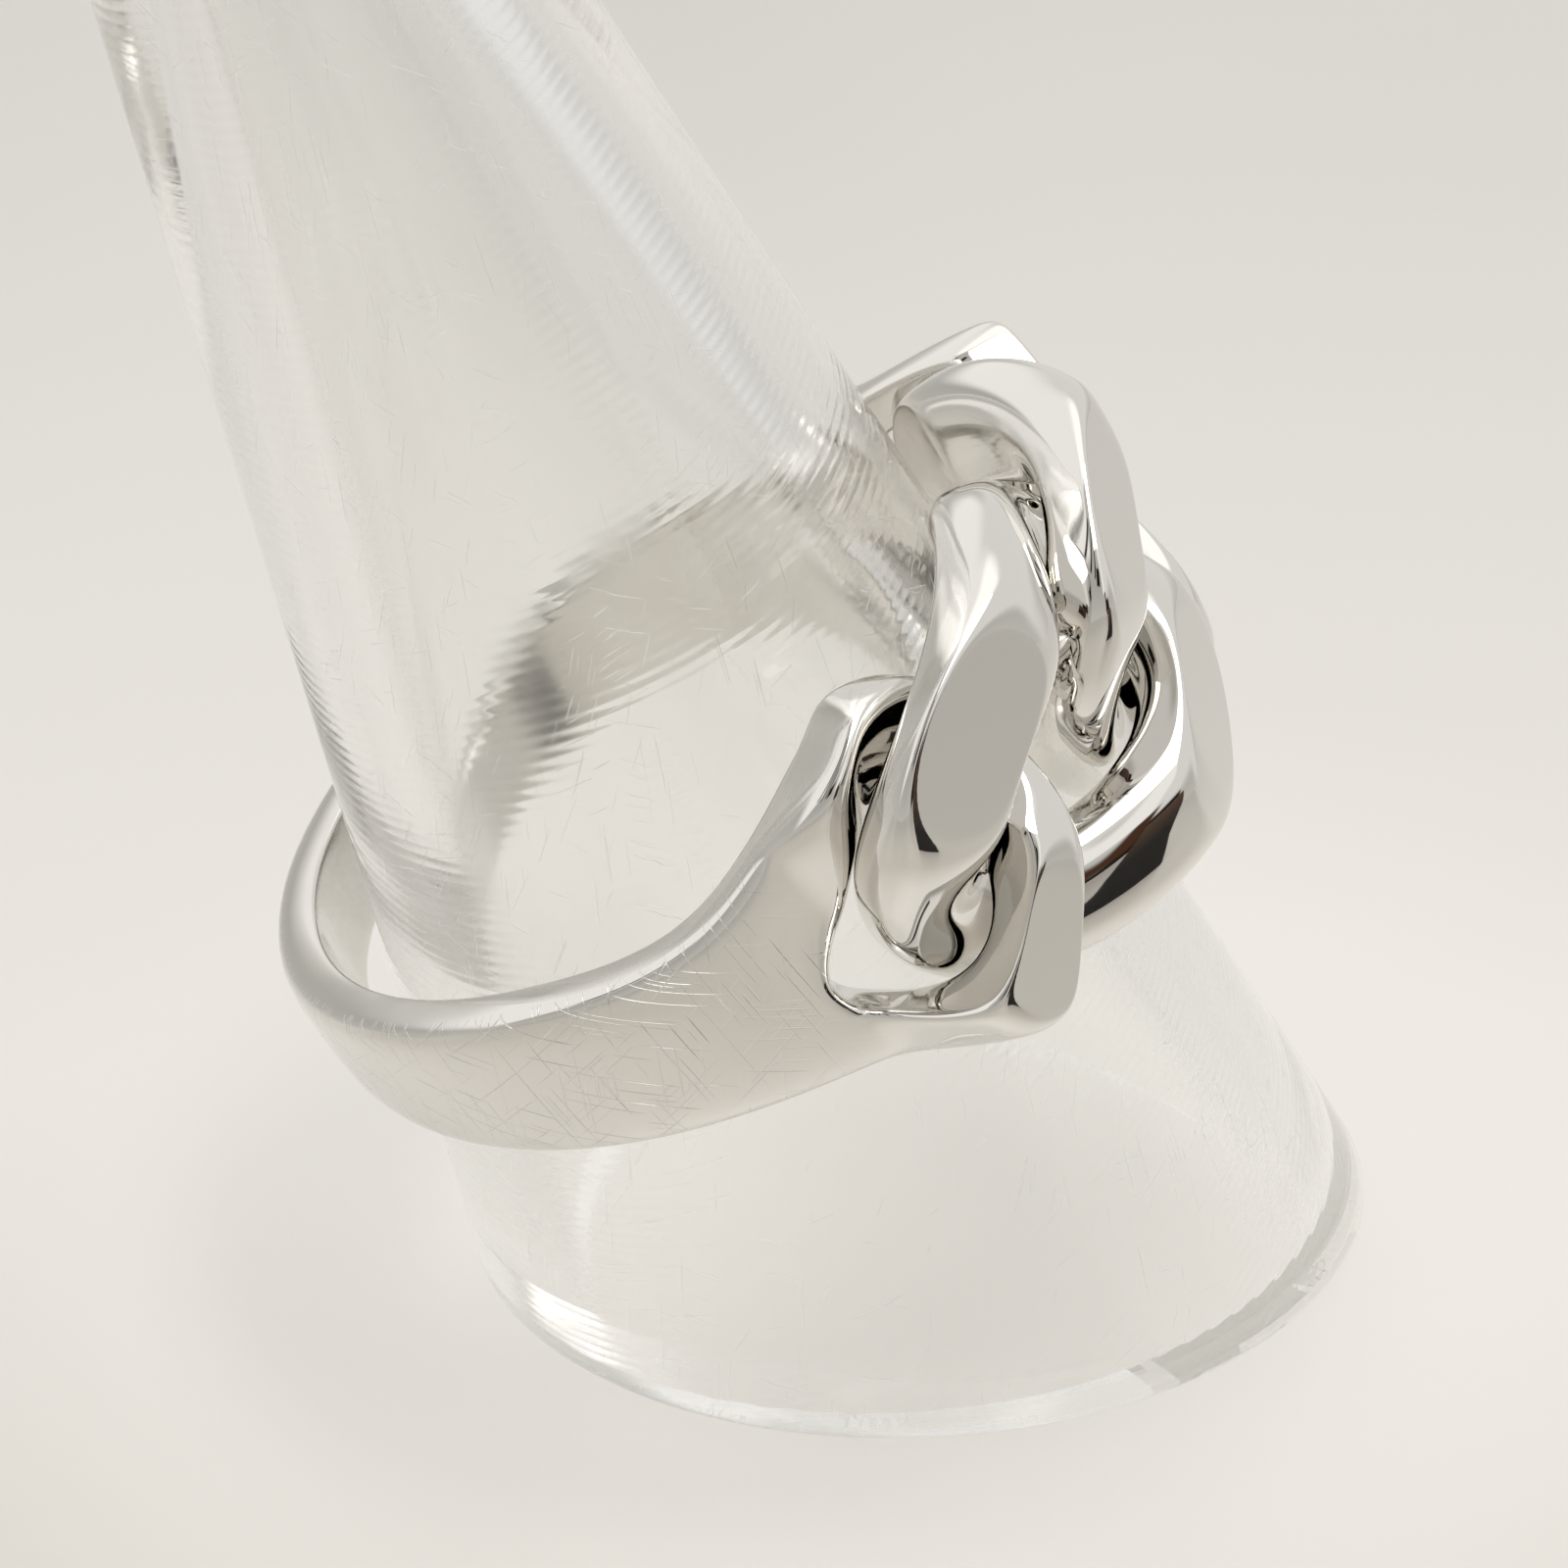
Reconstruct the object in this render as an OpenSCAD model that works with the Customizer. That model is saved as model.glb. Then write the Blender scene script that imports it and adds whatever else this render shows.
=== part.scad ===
// Curb chain ring resting on a slanted ring cone.
// Each ring piece is swept in a band that is unrolled round the finger and then bent round it:
// along runs round the finger from the front centre, across runs along the finger,
// height runs outwards from the finger hole.

/* [Finger hole] */
// Inner diameter of the ring
finger_d = 19.2; // [17:0.1:22]

/* [Shank] */
// Thickness of the shank at the back
shank_t = 1.35; // [1:0.05:2]
// Thickness of the shank where it meets its loops
shoulder_t = 1.55; // [1.4:0.05:2]
// Width of the shank at the back
shank_back_w = 2.7; // [2:0.1:4]
// Width of the shank across its loops
shank_front_w = 8.8; // [7.8:0.1:9.6]
// How far the loops sit off the middle of the band, one down and one up
loop_offset = 0.2; // [0:0.05:0.4]
// Length of the hole in a loop, round the finger
loop_hole_l = 4.9; // [4.6:0.1:5.3]
// Width of the hole in a loop
loop_hole_w = 4; // [3.6:0.1:4.4]
// Width of the wire that closes a loop
loop_wire_w = 1.7; // [1.5:0.05:2]

/* [Links] */
// Length of a link over its wire, round the finger
link_l = 13.8; // [12.6:0.1:15]
// Width of a link over its wire, across the band
link_w = 10.4; // [10:0.1:11.4]
// Width of a link's wire, seen from the front
wire_w = 3; // [2.6:0.1:3.2]
// Thickness of a link's wire, towards the finger
wire_t = 2.6; // [2.2:0.1:2.8]
// Slant of the links against the band, in degrees
link_slant = 7; // [0:1:16]
// Depth of the flat cut on the raised limbs
facet_cut = 1.05; // [0.5:0.05:1.1]
// Depth that the finger hole trims off the low limbs
finger_trim = 0.8; // [0.3:0.05:0.95]
// Clearance between wires that cross, one over the other
wire_gap = 0.38; // [0.3:0.02:0.5]
// Play between two links where they pull on each other, along the chain
link_play = 0.55; // [0.3:0.05:0.8]
// Play between a link and the shank's loop that holds it, along the chain
loop_play = 0.45; // [0.3:0.05:0.8]

/* [Ring cone] */
// Diameter of the cone where its axis meets the table
cone_d = 23.5; // [20:0.5:30]
// Angle between the cone's side and its axis, in degrees
cone_taper = 10.35; // [6:0.05:14]
// Length of the cone along its axis
cone_l = 42; // [34:1:52]
// Lean of the cone's axis from upright, in degrees
cone_lean = 22.7; // [0:0.1:30]
// Bevel round the cone's top
cone_bevel = 0.6; // [0.2:0.1:1.2]
// Thickness of the hollow cone's wall and top
cone_wall = 2.3; // [1.2:0.1:3.4]

/* [Rest on the cone] */
// Smallest clearance between the ring and the cone
rest_gap = 0.12; // [0.08:0.01:0.4]
// Tilt of the ring on the cone, away from the lean, in degrees
rest_tilt = 3.7; // [0:0.1:8]
// Sideways tilt of the ring on the cone, in degrees
rest_roll = 8.2; // [0:0.1:10]
// Turn of the chain round the cone, in degrees
rest_turn = 135.5; // [-180:0.5:180]
// Sag of the ring off the cone's axis, towards the lean
rest_sag = 0.45; // [0:0.05:0.8]

/* [Hidden] */

// Rings of points along a link, and points round its wire
LINK_STEPS = 52;
WIRE_SIDES = 14;
// How square the wire's section is, 1 being an ellipse
WIRE_SQUARE = 0.75;

// Distance between links and width of a link, in wire widths, under which links need more twist to pass
// each other, and how much more, for what is missing
TIGHT_PITCH = 2.4;
TIGHT_WIDTH = 3.4;
TIGHT_TWIST = 0.4;

finger_r = finger_d/2;
// Distance from one link to the next, round the finger
link_pitch = link_l - 2*wire_w - link_play;
tightness = max(0, TIGHT_PITCH*wire_w - link_pitch) + max(0, TIGHT_WIDTH*wire_w - link_w);
// Rise and fall of the middle of a link's wire
twist = (wire_t + wire_gap + TIGHT_TWIST*tightness)/2;
mid_h = twist + wire_t/2 - finger_trim;
mid_r = finger_r + mid_h;
cut_r = finger_r + mid_h + twist + wire_t/2 - facet_cut;
slant = tan(link_slant);
// Half length and half width of a link along the middle of its wire
link_a = (link_l - wire_w)/2;
link_b = (link_w - wire_w)/2;

function deg(along) = along/mid_r*180/PI;
function sgn_pow(x, e) = sign(x)*pow(abs(x), e);
function lerp(a, b, t) = a + (b - a)*t;
function smooth(t) = t <= 0 ? 0 : t >= 1 ? 1 : t*t*(3 - 2*t);

// A point of the unrolled band [along, across, height], bent round the finger.
// Points of a raised limb are held under its flat facet, whose centre is at facet_deg.
function bend(p, facet_deg) =
    let (a = deg(p[0]),
         off = abs(a - facet_deg),
         r = max(finger_r, off > 60 ? finger_r + p[2] : min(finger_r + p[2], cut_r/cos(off))))
    [r*cos(a), r*sin(a), p[1]];

// Height of the wire's centre at angle t round a link: up, down, up, down.
function wave(t) = mid_h - twist*sin(2*t);

// Two triangles for a four-sided face
function quad(a, b, c, d) = [[a, b, c], [a, c, d]];

// Link

function link_point(centre, t) =
    [centre + link_a*cos(t) + slant*link_b*sin(t), link_b*sin(t), wave(t)];

// Direction across the wire, seen from the front
function link_across(t) =
    let (d = [-link_a*sin(t) + slant*link_b*cos(t), link_b*cos(t)])
    [d[1], -d[0]]/norm(d);

function link_facet(centre, t) =
    deg(centre + (cos(t) < 0 ? -1 : 1)*(link_a*0.72 - slant*link_b*0.7));

function link_points(centre) = [
    for (i = [0:LINK_STEPS - 1])
        let (t = 360*i/LINK_STEPS, p = link_point(centre, t), n = link_across(t))
            for (j = [0:WIRE_SIDES - 1])
                let (q = 360*j/WIRE_SIDES,
                     s = wire_w/2*sgn_pow(cos(q), WIRE_SQUARE),
                     h = wire_t/2*sgn_pow(sin(q), WIRE_SQUARE))
                    bend([p[0] + s*n[0], p[1] + s*n[1], p[2] + h], link_facet(centre, t))
];

module link(centre) {
    polyhedron(
        points = link_points(centre),
        faces = [
            for (i = [0:LINK_STEPS - 1]) for (j = [0:WIRE_SIDES - 1])
                let (i2 = (i + 1)%LINK_STEPS, j2 = (j + 1)%WIRE_SIDES)
                    each quad(i*WIRE_SIDES + j, i*WIRE_SIDES + j2, i2*WIRE_SIDES + j2, i2*WIRE_SIDES + j)
        ],
        convexity = 8
    );
}

// Shank

// Stations from the back to a loop, and round the loop's hole
BAND_STEPS = 18;
LOOP_STEPS = 26;
// Angle round the hole at which the band's stations end
HOLE_START = 160;

// Edges of the band at even steps from the back to the loop,
// as shares of the way from the back's half width to the front's
EDGE_UPPER = [0, -0.04, 0.01, 0.05, 0.11, 0.88];
EDGE_LOWER = [0, 0.08, 0.32, 0.5, 0.7, 1];

// Section of the shank: share of the width from the hole outwards, share of the thickness
SECTION = [
    [0.00, 0.74], [0.07, 0.93], [0.26, 1.00], [0.70, 0.97], [0.93, 0.88], [1.00, 0.68],
    [1.00, 0.25], [0.95, 0.05], [0.80, 0.00], [0.25, 0.00], [0.08, 0.05], [0.00, 0.25]
];
SIDES = len(SECTION);
// Section points at which the web joins the two edges, outside and inside,
// and the ones between them that run down the wall of the hole
WEB_OUT = 2;
WEB_IN = 9;
WALL = [2, 1, 0, 11, 10, 9];

// Shares that shape a loop: the hole's shift across, of its width, and its tilt against the band,
// the outline's half length, of the wire's width past the hole, and its lean, of that half length
HOLE_SHIFT = 0.075;
HOLE_TILT = 0.25;
LOOP_ROUND = 0.41;
LOOP_LEAN = 0.42;
// Half width of a loop's lower side, of its upper side's, and how far its lower corner is drawn in
LOOP_LOWER = 0.93;
LOOP_DRAWN = 0.1;
// Width of the hole above and below its middle, and how much it widens above towards the link
HOLE_ABOVE = 0.87;
HOLE_BELOW = 1;
HOLE_WIDENS = 0.8;
// How far the hole's upper corner closes under the link, and how far the loop's lip falls there
HOLE_CLOSES = 0.35;
LIP_FALL = 0.12;
// How much slower a loop rises and falls than a link does
RISE_PACE = 0.75;

hole_a = loop_hole_l/2;
hole_b = loop_hole_w/2;
// Outer end of a loop, whose wire holds the near end of the first link
loop_tip = -link_pitch/2 - link_a + wire_w/2 + loop_play + loop_wire_w;
hole_u = loop_tip - loop_wire_w - hole_a;
hole_v = -loop_offset - HOLE_SHIFT*loop_hole_w;
loop_a = hole_a + LOOP_ROUND*loop_wire_w;
loop_u = loop_tip - loop_a;
loop_v = -loop_offset;
loop_b = shank_front_w/2;
back_u = -mid_r*PI;
start_u = hole_u + hole_a*cos(HOLE_START);

// Smooth curve through values at even steps, x being 0 to 1
function curve(v, x) =
    let (n = len(v) - 1, i = min(n - 1, floor(x*n)), f = x*n - i,
         a = v[max(0, i - 1)], b = v[i], c = v[i + 1], d = v[min(n, i + 2)])
    (2*b + (c - a)*f + (2*a - 5*b + 4*c - d)*f*f + (3*b - a - 3*c + d)*f*f*f)/2;

function along_share(u) = (u - back_u)/(loop_u - back_u);
function edge(u, side) =
    let (x = along_share(u), share = curve(side > 0 ? EDGE_UPPER : EDGE_LOWER, x))
    side*lerp(shank_back_w/2, side > 0 ? loop_b : LOOP_LOWER*loop_b, share) - loop_offset*smooth(x);
function band_t(u) = lerp(shank_t, shoulder_t, smooth(along_share(u)));

// How far the loop's upper corner towards the back tucks under the link, and how far its lower corner
// towards the tip is drawn in, at angle b round the hole
function tucked(b) = b > 0 ? max(0, -sin(2*b)) : 0;
function drawn(b) = b < 0 && b > -90 ? LOOP_DRAWN*pow(sin(2*b), 2) : 0;

// Edge of the hole at angle b round it, and of the loop outside it
function hole_edge(b) =
    let (near = 1 - HOLE_CLOSES*tucked(b) - drawn(b))
    [hole_u + near*hole_a*cos(b),
     hole_v + near*(HOLE_TILT*hole_a*cos(b)
         + hole_b*sin(b)*(b > 0 ? HOLE_ABOVE + HOLE_WIDENS*max(0, cos(b)) : HOLE_BELOW))];
function loop_edge(b) =
    abs(b) <= 90 ? let (near = 1 - drawn(b))
            [loop_u + near*loop_a*(1 + LOOP_LEAN*sin(b))*cos(b),
             loop_v + near*loop_b*sin(b)*(b > 0 ? 1 : LOOP_LOWER)]
        : let (u = lerp(loop_u, start_u, cos(b)/cos(HOLE_START))) [u, edge(u, sign(b))];

// A station holds: outer edge, hole edge, height of the inner face,
// height of the outer face at the hole and at the outer edge
function band_station(k, side) =
    let (x = k/BAND_STEPS,
         u = lerp(back_u, start_u, x),
         e = edge(u, side),
         h = hole_edge(side*HOLE_START)[1])
    [[u, e], [u, lerp(e*0.3, h, smooth(x))], 0, band_t(u), band_t(u)];

function loop_station(b) =
    let (fade = smooth((HOLE_START - abs(b))/(HOLE_START - 90)),
         middle = wave(b*RISE_PACE),
         outer = loop_edge(b),
         shoulder = band_t(min(outer[0], loop_u)),
         low = b > 0 ? 0 : max(0, middle - wire_t/2)*fade,
         top = lerp(shoulder, middle + wire_t/2, fade),
         lip = b > 0 ? min(shoulder, top)*(1 - LIP_FALL*tucked(b)) : top)
    [outer, hole_edge(b), low, lip, top];

half_stations = concat(
    [for (k = [0:BAND_STEPS - 1]) band_station(k, 1)],
    [for (k = [0:LOOP_STEPS]) loop_station(lerp(HOLE_START, -HOLE_START, k/LOOP_STEPS))],
    [for (k = [BAND_STEPS - 1:-1:1]) band_station(k, -1)]
);
HALF = len(half_stations);
loop_facet = deg(loop_u + loop_a*cos(50) - loop_wire_w*0.6);

// Second half of the shank: the first one turned half round the front's middle
function turned(p, half) = half == 0 ? p : [-p[0], -p[1], p[2]];
function bend_half(p, half) = bend(turned(p, half), (half == 0 ? 1 : -1)*loop_facet);

function section_point(st, q) =
    let (uv = lerp(st[1], st[0], q[0]))
    [uv[0], uv[1], lerp(st[2], lerp(st[3], st[4], q[0]), q[1])];

// Middle of the web at band station k
function web_point(k, inner) =
    let (x = k/BAND_STEPS,
         u = lerp(back_u, start_u, x),
         tip = hole_edge(180),
         end = k == BAND_STEPS)
    [end ? tip[0] - SECTION[WEB_OUT][0]*loop_wire_w : u,
     lerp(0, tip[1], smooth(x)),
     inner ? 0 : band_t(u)];

// Wall of the hole at its blunt end
function wall_point(j) =
    let (tip = hole_edge(180)) [tip[0] - SECTION[j][0]*loop_wire_w, tip[1], SECTION[j][1]*band_t(start_u)];

shank_points = [
    for (half = [0, 1]) each concat(
        [for (st = half_stations) for (q = SECTION) bend_half(section_point(st, q), half)],
        [for (k = [0:BAND_STEPS]) for (inner = [false, true]) bend_half(web_point(k, inner), half)],
        [for (c = [1:4]) bend_half(wall_point(WALL[c]), half)]
    )
];
HALF_POINTS = HALF*SIDES + 2*(BAND_STEPS + 1) + 4;

// Index of section point j at station i; stations run on from one half into the other
function sec(half, i, j) =
    let (h = i < HALF ? half : 1 - half, k = i < HALF ? i : i - HALF) h*HALF_POINTS + k*SIDES + j;
function web(half, k, inner) = (k == 0 ? 0 : half*HALF_POINTS) + HALF*SIDES + 2*k + inner;
function wall(half, c) =
    c == 0 ? web(half, BAND_STEPS, 0)
    : c == 5 ? web(half, BAND_STEPS, 1)
    : half*HALF_POINTS + HALF*SIDES + 2*(BAND_STEPS + 1) + c - 1;

shank_faces = [
    for (h = [0, 1]) each concat(
        [for (i = [0:HALF - 1]) for (j = [0:SIDES - 1])
            if ((i >= BAND_STEPS && i < BAND_STEPS + LOOP_STEPS) || (j >= WEB_OUT && j < WEB_IN))
                let (j2 = (j + 1)%SIDES)
                    each quad(sec(h, i, j), sec(h, i, j2), sec(h, i + 1, j2), sec(h, i + 1, j))],
        [for (k = [0:BAND_STEPS - 1])
            let (k2 = k + 1, below = HALF - k, below2 = below - 1)
                each concat(
                    quad(sec(h, k, WEB_OUT), sec(h, k2, WEB_OUT), web(h, k2, 0), web(h, k, 0)),
                    quad(web(h, k, 0), web(h, k2, 0), sec(h, below2, WEB_OUT), sec(h, below, WEB_OUT)),
                    quad(web(h, k, 1), web(h, k2, 1), sec(h, k2, WEB_IN), sec(h, k, WEB_IN)),
                    quad(sec(h, below, WEB_IN), sec(h, below2, WEB_IN), web(h, k2, 1), web(h, k, 1)))],
        [for (c = [0:4])
            let (first = BAND_STEPS, last = BAND_STEPS + LOOP_STEPS)
                each concat(
                    quad(sec(h, first, WALL[c]), sec(h, first, WALL[c + 1]), wall(h, c + 1), wall(h, c)),
                    quad(wall(h, c), wall(h, c + 1), sec(h, last, WALL[c + 1]), sec(h, last, WALL[c])))]
    )
];

// Rest on the cone

cone_r = cone_d/2;
taper = tan(cone_taper);

function about_x(a) = [[1, 0, 0], [0, cos(a), -sin(a)], [0, sin(a), cos(a)]];
function about_y(a) = [[cos(a), 0, sin(a)], [0, 1, 0], [-sin(a), 0, cos(a)]];
function about_z(a) = [[cos(a), -sin(a), 0], [sin(a), cos(a), 0], [0, 0, 1]];
rest_turned = about_y(rest_tilt)*about_x(rest_roll)*about_z(rest_turn);

// Height up the cone's axis at which a point of the ring clears the cone
function clear_height(p) =
    let (q = rest_turned*p + [rest_sag, 0, 0])
    (cone_r + rest_gap/cos(cone_taper) - norm([q[0], q[1]]))/taper - q[2];
rest_s = max([for (p = concat(shank_points, link_points(-link_pitch/2), link_points(link_pitch/2)))
    clear_height(p)]);

// Middle of the cone's base, off the foot of its axis
base_left = -cone_r/(cos(cone_lean) + taper*sin(cone_lean));
base_right = cone_r/(cos(cone_lean) - taper*sin(cone_lean));
base_x = (base_left + base_right)/2;

module on_cone() {
    translate([-base_x, 0, 0])
        rotate([0, -cone_lean, 0])
            rotate([0, 0, 180])
                translate([rest_sag, 0, rest_s])
                    multmatrix(rest_turned)
                        children();
}

module shank() {
    color("silver") on_cone() polyhedron(points = shank_points, faces = shank_faces, convexity = 10);
}

module link_1() {
    color("gainsboro") on_cone() link(-link_pitch/2);
}

module link_2() {
    color("gainsboro") on_cone() link(link_pitch/2);
}

// A stretch of a cone round the ring cone's axis, from one place on it to another.
// The insets are how far its side lies inside the ring cone's at its two ends.
module cone_stretch(from, to, inset, end_inset) {
    translate([0, 0, from])
        cylinder(h = to - from, r1 = cone_r - from*taper - inset, r2 = cone_r - to*taper - end_inset,
                 $fn = 96);
}

module ring_cone() {
    below = -2*cone_r;
    bevel_from = cone_l - cone_bevel;
    hollow = cone_wall/cos(cone_taper);
    color("lightcyan", 0.5)
        difference() {
            translate([-base_x, 0, 0])
                rotate([0, -cone_lean, 0])
                    difference() {
                        union() {
                            cone_stretch(below, bevel_from, 0, 0);
                            cone_stretch(bevel_from, cone_l, 0, cone_bevel);
                        }
                        cone_stretch(2*below, cone_l - cone_wall, hollow, hollow);
                    }
            translate([-4*cone_d, -4*cone_d, -8*cone_d]) cube(8*cone_d);
        }
}

shank();
link_1();
link_2();
ring_cone();
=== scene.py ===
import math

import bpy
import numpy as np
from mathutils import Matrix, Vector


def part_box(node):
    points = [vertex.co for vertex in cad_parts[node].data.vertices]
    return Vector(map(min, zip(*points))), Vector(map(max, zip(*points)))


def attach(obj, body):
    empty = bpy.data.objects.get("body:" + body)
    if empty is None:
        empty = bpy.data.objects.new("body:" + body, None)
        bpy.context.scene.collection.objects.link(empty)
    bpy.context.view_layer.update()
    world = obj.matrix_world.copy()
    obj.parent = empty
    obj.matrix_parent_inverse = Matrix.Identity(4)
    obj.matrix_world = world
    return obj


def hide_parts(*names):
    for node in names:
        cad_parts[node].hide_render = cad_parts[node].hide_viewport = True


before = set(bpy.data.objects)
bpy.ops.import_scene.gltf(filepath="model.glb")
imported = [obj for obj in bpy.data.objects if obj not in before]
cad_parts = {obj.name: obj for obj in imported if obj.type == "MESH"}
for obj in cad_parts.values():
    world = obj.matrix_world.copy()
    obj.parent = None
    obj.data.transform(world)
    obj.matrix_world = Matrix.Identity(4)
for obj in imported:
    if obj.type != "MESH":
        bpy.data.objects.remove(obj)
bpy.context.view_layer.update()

# A curb chain ring in polished silver, resting on a leaning ring cone of clear acrylic.
# The ring is modelled unrolled, in millimetres: along runs round the finger from the front's
# middle, across runs along the finger, height runs outwards from the finger hole. It is then bent
# round the finger, set on the cone and scaled to metres.

MM = 0.001

# Sizes, as in the solids

FINGER_R = 19.2 / 2
SHANK_T = 1.35
SHOULDER_T = 1.55
SHANK_BACK_W = 2.7
SHANK_FRONT_W = 8.8
LOOP_OFFSET = 0.2
LOOP_HOLE_L = 4.9
LOOP_HOLE_W = 4
LOOP_WIRE_W = 1.7

LINK_L = 13.8
LINK_W = 10.4
WIRE_W = 3
WIRE_T = 2.6
LINK_SLANT = math.radians(7)
FACET_CUT = 1.05
FINGER_TRIM = 0.8
WIRE_GAP = 0.38
LINK_PLAY = 0.55
LOOP_PLAY = 0.45

CONE_R = 23.5 / 2
CONE_TAPER = math.radians(10.35)
CONE_L = 42
CONE_LEAN = math.radians(22.7)
CONE_BEVEL = 0.6
CONE_WALL = 2.3

REST_TILT = math.radians(3.7)
REST_ROLL = math.radians(8.2)
REST_TURN = math.radians(135.5)
REST_SAG = 0.45

# Worked out from them

TWIST = (WIRE_T + WIRE_GAP) / 2
MID_H = TWIST + WIRE_T / 2 - FINGER_TRIM
MID_R = FINGER_R + MID_H
CUT_R = MID_R + TWIST + WIRE_T / 2 - FACET_CUT
SLANT = math.tan(LINK_SLANT)
LINK_A = (LINK_L - WIRE_W) / 2
LINK_B = (LINK_W - WIRE_W) / 2
LINK_PITCH = LINK_L - 2 * WIRE_W - LINK_PLAY
TAPER = math.tan(CONE_TAPER)

# Rounding of the edges where a flat facet or the finger hole cuts the wire
FACET_ROUND = 0.45
HOLE_ROUND = 0.3
# Reach of a facet to either side of its middle, round the finger
FACET_REACH = math.radians(60)


def lerp(a, b, t):
    return a + (b - a) * t


def smooth(t):
    t = np.clip(t, 0, 1)
    return t * t * (3 - 2 * t)


def soft_min(a, b, width):
    """The lower of a and b, with the corner between them rounded over width."""
    t = np.clip(0.5 + 0.5 * (b - a) / width, 0, 1)
    return b + (a - b) * t - width * t * (1 - t)


def soft_max(a, b, width):
    return -soft_min(-a, -b, width)


def bent(points):
    """Unrolled points (along, across, height), bent round the finger."""
    along, across, height = np.asarray(points, float).T
    turn = along / MID_R
    r = FINGER_R + height
    return np.column_stack((r * np.cos(turn), r * np.sin(turn), across))


def cut_back(points, facets):
    """Bent points held under the flat facets and out of the finger hole. A facet is given by the
    angle of its middle round the finger."""
    x, y, across = points.T
    r, turn = np.hypot(x, y), np.arctan2(y, x)
    for facet in facets:
        off = np.abs((turn - facet + math.pi) % (2 * math.pi) - math.pi)
        near = off < FACET_REACH
        plane = CUT_R / np.cos(np.where(near, off, 0))
        r = np.where(near, soft_min(r, plane, FACET_ROUND), r)
    r = soft_max(r, FINGER_R, HOLE_ROUND)
    return np.column_stack((r * np.cos(turn), r * np.sin(turn), across))


def wave(t):
    """Height of the wire's middle at angle t round a link, which dips and rises twice."""
    return MID_H - TWIST * np.sin(2 * t)


def smooth_object(name, points, faces, unit=MM):
    """A mesh object of points, each coordinate in this unit, shaded smooth."""
    mesh = bpy.data.meshes.new(name)
    mesh.from_pydata([tuple(p) for p in np.asarray(points) * unit], [], faces)
    mesh.shade_smooth()
    piece = bpy.data.objects.new(name, mesh)
    bpy.context.scene.collection.objects.link(piece)
    return piece


# Rest on the cone

def base_ends():
    """Where the cone's outline meets the table, left and right of the foot of its axis."""
    cos, sin = math.cos(CONE_LEAN), math.sin(CONE_LEAN)
    return -CONE_R / (cos + TAPER * sin), CONE_R / (cos - TAPER * sin)


# The cone's base is centred on the origin
CONE_FOOT = Vector((-sum(base_ends()) / 2, 0, 0))
CONE_AXIS = Vector((-math.sin(CONE_LEAN), 0, math.cos(CONE_LEAN)))
ON_CONE = (
    Matrix.Translation(CONE_FOOT)
    @ Matrix.Rotation(-CONE_LEAN, 4, "Y")
    @ Matrix.Rotation(math.pi, 4, "Z")
    @ Matrix.Translation((REST_SAG, 0, 0))
    @ Matrix.Rotation(REST_TILT, 4, "Y")
    @ Matrix.Rotation(REST_ROLL, 4, "X")
    @ Matrix.Rotation(REST_TURN, 4, "Z")
)


def placed(points, climb=0.0):
    """Ring points set on the cone, climb millimetres up its axis."""
    turn = np.array(ON_CONE.to_3x3())
    shift = np.array(ON_CONE.translation + CONE_AXIS * climb)
    return points @ turn.T + shift


# Links

# Points round a link and round its wire, fine enough for a mirror finish
LINK_STEPS = 400
WIRE_SIDES = 80
# How square the wire's section is, 1 being an ellipse
WIRE_SQUARE = 0.75
# Where a link's facets lie: shares of its half length, and of what its slant takes off
FACET_AT = 0.72
FACET_SLANT = 0.7


def link_points(centre):
    """Points of a link whose middle lies this far along, ring by ring round its wire."""
    t, q = np.meshgrid(
        np.arange(LINK_STEPS) * 2 * math.pi / LINK_STEPS,
        np.arange(WIRE_SIDES) * 2 * math.pi / WIRE_SIDES,
        indexing="ij",
    )
    along = centre + LINK_A * np.cos(t) + SLANT * LINK_B * np.sin(t)
    across = LINK_B * np.sin(t)
    run = np.stack((-LINK_A * np.sin(t) + SLANT * LINK_B * np.cos(t), LINK_B * np.cos(t)))
    run /= np.hypot(*run)
    aside = WIRE_W / 2 * np.sign(np.cos(q)) * np.abs(np.cos(q)) ** WIRE_SQUARE
    up = WIRE_T / 2 * np.sign(np.sin(q)) * np.abs(np.sin(q)) ** WIRE_SQUARE
    wire = np.stack((along + aside * run[1], across - aside * run[0], wave(t) + up), axis=-1)
    reach = LINK_A * FACET_AT - SLANT * LINK_B * FACET_SLANT
    facets = [(centre + side * reach) / MID_R for side in (-1, 1)]
    return cut_back(bent(wire.reshape(-1, 3)), facets)


def link_faces():
    steps = np.arange(LINK_STEPS)[:, None]
    sides = np.arange(WIRE_SIDES)[None, :]
    here, after = steps * WIRE_SIDES, (steps + 1) % LINK_STEPS * WIRE_SIDES
    next_side = (sides + 1) % WIRE_SIDES
    quads = np.stack((here + sides, after + sides, after + next_side, here + next_side), axis=-1)
    return quads.reshape(-1, 4).tolist()


# Shank

# Steps along half the band and round a loop
BAND_STEPS = 18
LOOP_STEPS = 26
# Angle round the hole, in degrees from the tip, where band and loop meet
HOLE_START = 160
# How far the band's two edges have widened, at even steps from the back to the loop
EDGE_UPPER = (0, -0.04, 0.01, 0.05, 0.11, 0.88)
EDGE_LOWER = (0, 0.08, 0.32, 0.5, 0.7, 1)
# Section: share of the width from the hole outwards, share of the thickness
SECTION = (
    (0.00, 0.74), (0.07, 0.93), (0.26, 1.00), (0.70, 0.97), (0.93, 0.88), (1.00, 0.68),
    (1.00, 0.25), (0.95, 0.05), (0.80, 0.00), (0.25, 0.00), (0.08, 0.05), (0.00, 0.25),
)
SIDES = len(SECTION)
# Section points where the web joins the two edges, and those down the wall of the hole
WEB_OUT = 2
WEB_IN = 9
WALL = (2, 1, 0, 11, 10, 9)
WALL_END = len(WALL) - 1
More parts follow.
